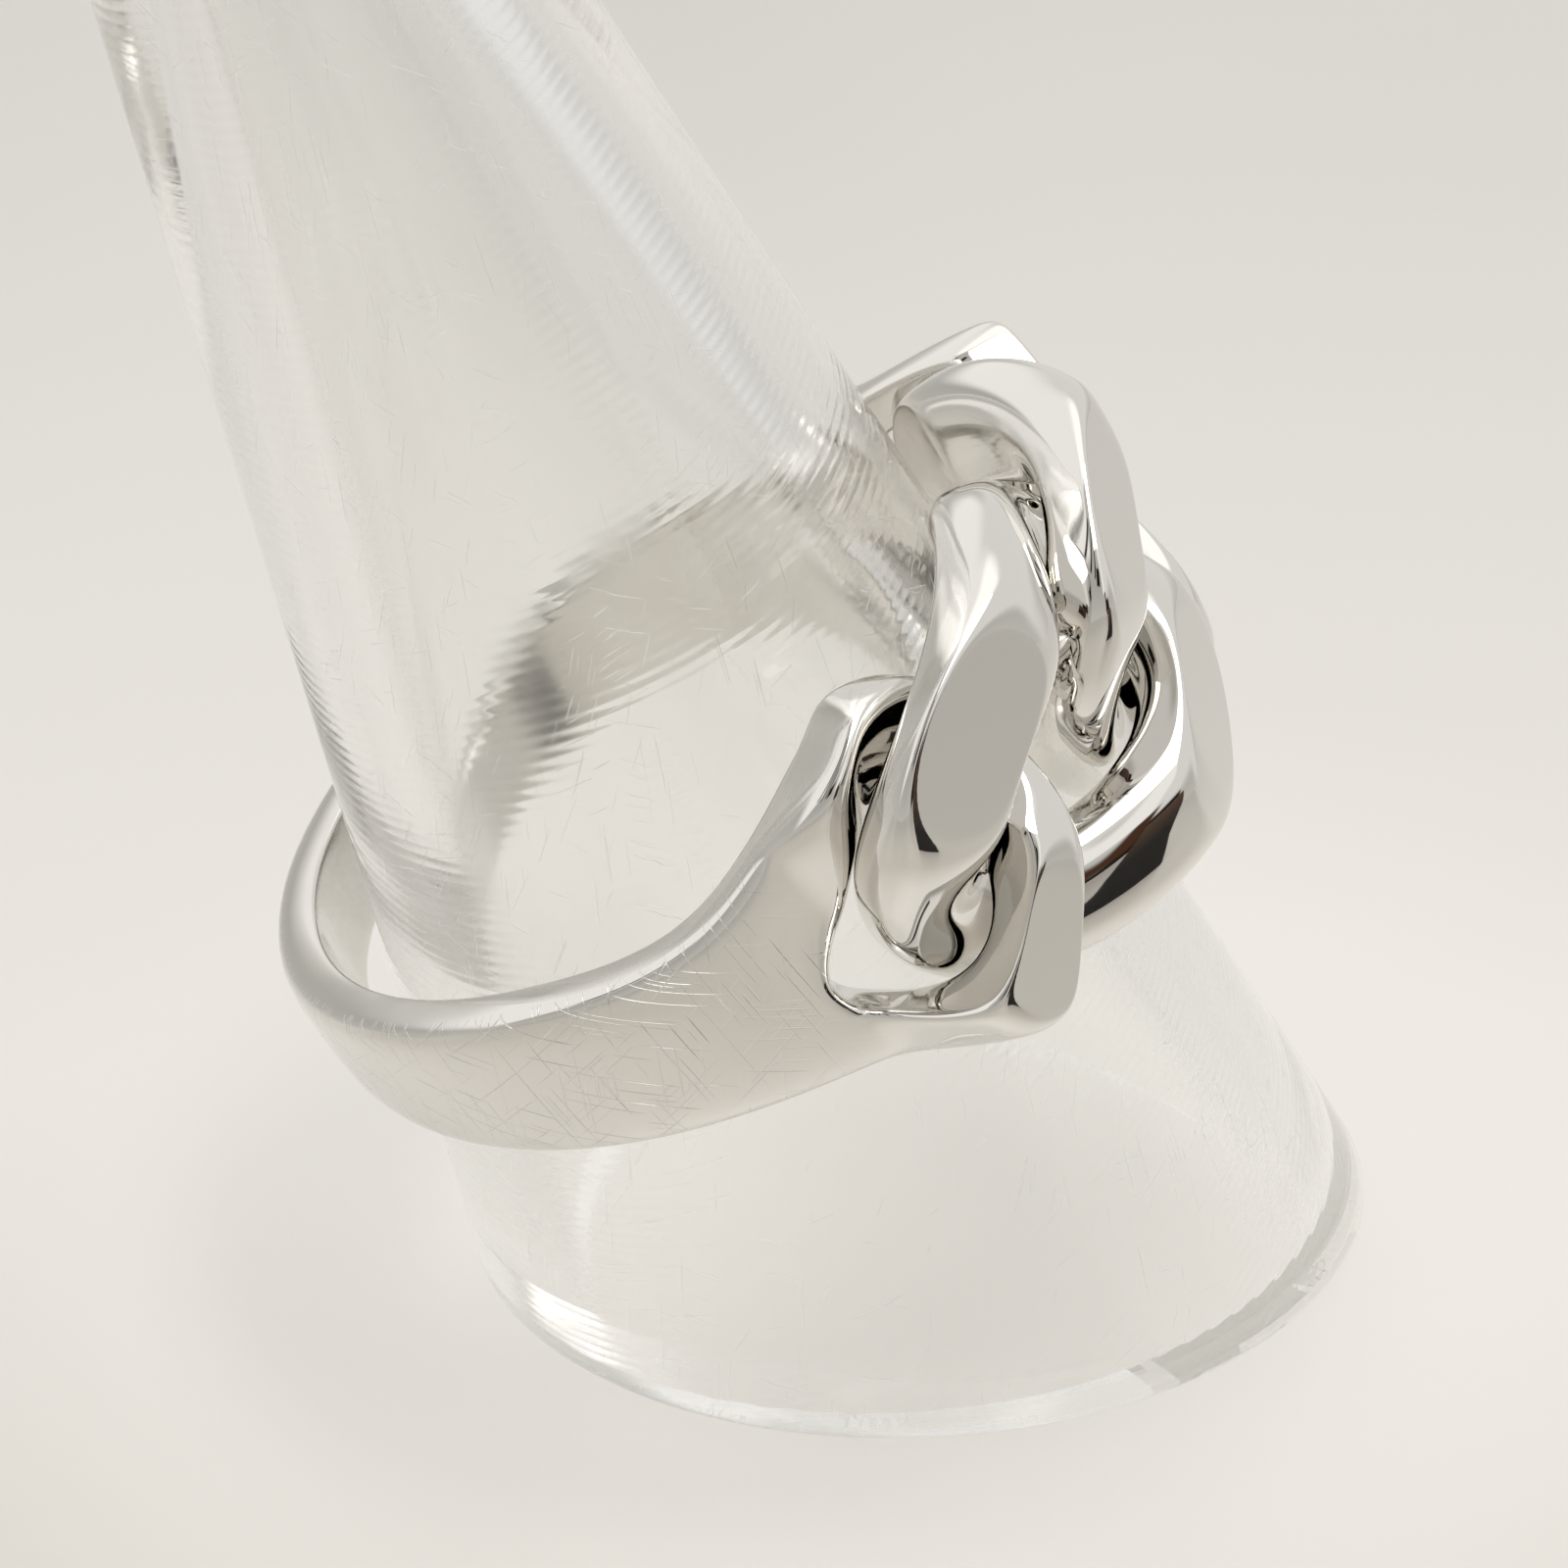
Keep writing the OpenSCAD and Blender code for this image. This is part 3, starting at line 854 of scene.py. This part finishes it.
def finish_silver(piece, points):
    """Keeps where each point lies unrolled, how tarnished it is, which is inside the ring, and how
    scratched, which is outside the band."""
    x, y, across = points.T
    turn, height = np.arctan2(y, x), np.hypot(x, y) - FINGER_R
    keep(piece, "unrolled", np.column_stack((turn * MID_R, across, height)))
    keep(piece, "tarnish", np.clip(1 - height / DULL_BELOW, 0, 1))
    low, high = WORN_HEIGHTS
    outside = np.clip((height / SHANK_T - low) / (high - low), 0, 1)
    keep(piece, "wear", outside * np.clip((np.abs(turn) - WORN_FROM) / WORN_OVER, 0, 1))


def finish_acrylic(piece, rings):
    """Keeps how far round and up the cone each point lies."""
    around = np.broadcast_to(ROUND_CONE * CONE_R, rings.shape[:2])
    up = (rings - np.array(CONE_FOOT)) @ np.array(CONE_AXIS)
    keep(piece, "unrolled", np.stack((around, up, 0 * up), axis=-1).reshape(-1, 3))


silver = polished_silver()
acrylic = turned_acrylic()
faces = link_faces()
climb = climb_on_cone(link_points(-LINK_PITCH / 2), "link_1")
for number, side in ((1, -1), (2, 1)):
    points = link_points(side * LINK_PITCH / 2)
    link = add_piece(
        f"chain_link_{number}", placed(points, climb), faces, silver, f"link_{number}"
    )
    finish_silver(link, points)
points, faces = shank_surface()
shank = add_piece("ring_shank", placed(points, climb), faces, silver, "shank")
finish_silver(shank, points)
rings = cone_rings()
cone = add_piece(
    "hollow_cone", rings.reshape(-1, 3), cone_faces(len(rings)), acrylic, "ring_cone"
)
cone.data.set_sharp_from_angle(angle=CONE_SHARP)
finish_acrylic(cone, rings)

# Table, lights and camera. Turns are from the camera's side, turns and rises in degrees.

# Half the table's side, in metres
TABLE_HALF = 2

# Walls of the tent: height on them, from level to overhead, and colour
TENT_WALLS = ((0.0, "#C8C6C1"), (0.4, "#B5B3AE"), (1.0, "#C2C0BC"))
# Cards and lamps of the tent: turn and rise, width and height in degrees, softness of the edge,
# colour and strength
TENT_CARDS = (
    (175, 72, 60, 34, 8, "#FFFDFA", 1.3),
    (-120, 42, 90, 26, 10, "#FFFDFA", 1.0),
    (140, 32, 70, 40, 14, "#FFFDFA", 0.8),
    (75, 45, 60, 46, 14, "#FFFDFA", 0.8),
    (34, 36, 10, 30, 4, "#FFFDFA", 1.0),
    (0, 33, 16, 12, 2, "#171514", 1.0),
    (49, 3, 15, 16, 3, "#1C1918", 1.0),
    (41, 11, 5, 14, 3, "#4A3325", 1.0),
    (-41, 44, 3, 26, 2, "#1C1918", 1.0),
    (-19, 44, 4, 26, 2, "#2A2725", 1.0),
    (-62, 42, 3, 20, 2, "#3A3733", 1.0),
)

# Lamp over the ring: distance, width and the ring's height in millimetres, power in watts
LAMP_TURN = 12
LAMP_RISE = 70
LAMP_AWAY = 120
LAMP_W = 80
LAMP_POWER = 0.05
RING_HEIGHT = 16

# Dark card that stands on the table, in millimetres
FLAG_TURN = 49
FLAG_AWAY = 58
FLAG_W = 17
FLAG_H = 24

# The camera: rise and distance from the foot of the cone, aim off it, lens and what it sees
CAMERA_RISE = math.radians(31.79)
CAMERA_AWAY = 88.84
AIM_UP = math.radians(-7.47)
AIM_ASIDE = math.radians(-2.02)
LENS = 72
SENSOR = 36
NEAREST = 0.001
FURTHEST = 10


def away(turn, rise, distance=1.0):
    """A place at this turn and rise, as seen from the foot of the cone."""
    turn, rise = math.radians(turn) + CAMERA_TURN, math.radians(rise)
    level = math.cos(rise)
    return Vector((math.sin(turn) * level, -math.cos(turn) * level, math.sin(rise))) * distance


def staged_sheet(name, corners, finish):
    """A four-sided sheet that stands by the object and isn't part of it."""
    mesh = bpy.data.meshes.new(name)
    mesh.from_pydata(corners, [], [(0, 1, 2, 3)])
    mesh.materials.append(finish)
    sheet = bpy.data.objects.new(name, mesh)
    bpy.context.scene.collection.objects.link(sheet)
    return sheet


def lay_table():
    signs = ((-1, -1), (1, -1), (1, 1), (-1, 1))
    corners = [(x * TABLE_HALF, y * TABLE_HALF, 0) for x, y in signs]
    staged_sheet("table", corners, lacquered_board())


def tent_card(tree, ray, colour, turn, rise, width, height, soft, shade, strength):
    """Hangs an oblong card with soft edges in the tent, over the colour behind it."""
    middle = away(turn, rise)
    aside = Vector((0, 0, 1)).cross(middle).normalized()
    facing = node(tree, "ShaderNodeVectorMath", {0: ray, 1: middle}, operation="DOT_PRODUCT")
    inside = node(
        tree, "ShaderNodeMath", {0: facing.outputs["Value"], 1: 0.0}, operation="GREATER_THAN"
    ).outputs[0]
    for across, size in ((aside, width), (middle.cross(aside), height)):
        off = node(tree, "ShaderNodeVectorMath", {0: ray, 1: across}, operation="DOT_PRODUCT")
        off = node(tree, "ShaderNodeMath", {0: off.outputs["Value"]}, operation="ABSOLUTE")
        near = node(
            tree, "ShaderNodeMapRange",
            {"Value": off.outputs[0], "From Min": math.sin(math.radians(size / 2 + soft)),
             "From Max": math.sin(math.radians(size / 2))},
            interpolation_type="SMOOTHSTEP",
        ).outputs[0]
        inside = node(
            tree, "ShaderNodeMath", {0: inside, 1: near}, operation="MULTIPLY"
        ).outputs[0]
    glow = [strength * c for c in linear(shade)[:3]] + [1]
    return node(
        tree, "ShaderNodeMix", {"Factor": inside, COLOUR_A: colour, COLOUR_B: glow},
        data_type="RGBA",
    ).outputs[MIXED]


def light_tent():
    """A white tent of soft light round the ring, open towards the camera."""
    world = bpy.data.worlds.new("light_tent")
    world.use_nodes = True
    tree = world.node_tree
    tree.nodes.clear()
    ray = node(tree, "ShaderNodeTexCoord").outputs["Generated"]
    up = node(tree, "ShaderNodeSeparateXYZ", {"Vector": ray}).outputs["Z"]
    walls = node(tree, "ShaderNodeValToRGB", {"Fac": up})
    ramp = walls.color_ramp.elements
    ramp.remove(ramp[1])
    ramp[0].position, ramp[0].color = TENT_WALLS[0][0], linear(TENT_WALLS[0][1])
    for level, shade in TENT_WALLS[1:]:
        ramp.new(level).color = linear(shade)
    colour = walls.outputs["Color"]
    for card in TENT_CARDS:
        colour = tent_card(tree, ray, colour, *card)
    light = node(tree, "ShaderNodeBackground", {"Color": colour})
    node(tree, "ShaderNodeOutputWorld", {"Surface": light.outputs[0]})
    bpy.context.scene.world = world


def hang_lamp():
    """A square soft light over the ring, which it looks at."""
    lamp = bpy.data.lights.new("overhead", "AREA")
    lamp.shape, lamp.size = "SQUARE", LAMP_W * MM
    lamp.energy, lamp.color = LAMP_POWER, linear("#FFFCF7")[:3]
    softbox = bpy.data.objects.new("overhead", lamp)
    ring = Vector((0, 0, RING_HEIGHT * MM))
    softbox.location = away(LAMP_TURN, LAMP_RISE, LAMP_AWAY * MM) + ring
    softbox.rotation_euler = (-away(LAMP_TURN, LAMP_RISE)).to_track_quat("-Z", "Y").to_euler()
    softbox.visible_camera = False
    bpy.context.scene.collection.objects.link(softbox)


def stand_dark_flag():
    """A dark card on the table, unseen by the camera, for the silver to mirror."""
    foot = away(FLAG_TURN, 0, FLAG_AWAY * MM)
    aside = Vector((0, 0, 1)).cross(foot).normalized() * FLAG_W / 2 * MM
    up = Vector((0, 0, FLAG_H * MM))
    corners = [foot - aside, foot + aside, foot + aside + up, foot - aside + up]
    staged_sheet("dark_flag", corners, brown_black_card(FLAG_H)).visible_camera = False


def add_camera():
    camera = bpy.data.objects.new("camera", bpy.data.cameras.new("camera"))
    camera.data.lens, camera.data.sensor_width = LENS, SENSOR
    camera.data.clip_start, camera.data.clip_end = NEAREST, FURTHEST
    around = Matrix.Rotation(CAMERA_TURN, 4, "Z")
    level = Matrix.Rotation(math.pi / 2 - CAMERA_RISE, 4, "X")
    aim = Matrix.Rotation(AIM_UP, 4, "X") @ Matrix.Rotation(AIM_ASIDE, 4, "Y")
    back = Vector((0, -math.cos(CAMERA_RISE), math.sin(CAMERA_RISE))) * CAMERA_AWAY
    turned = around @ level @ aim.inverted()
    turned.translation = (around @ back + CONE_FOOT) * MM
    camera.matrix_world = turned
    bpy.context.scene.collection.objects.link(camera)
    bpy.context.scene.camera = camera


lay_table()
add_camera()
light_tent()
hang_lamp()
stand_dark_flag()
bpy.context.scene.view_settings.view_transform = "Standard"
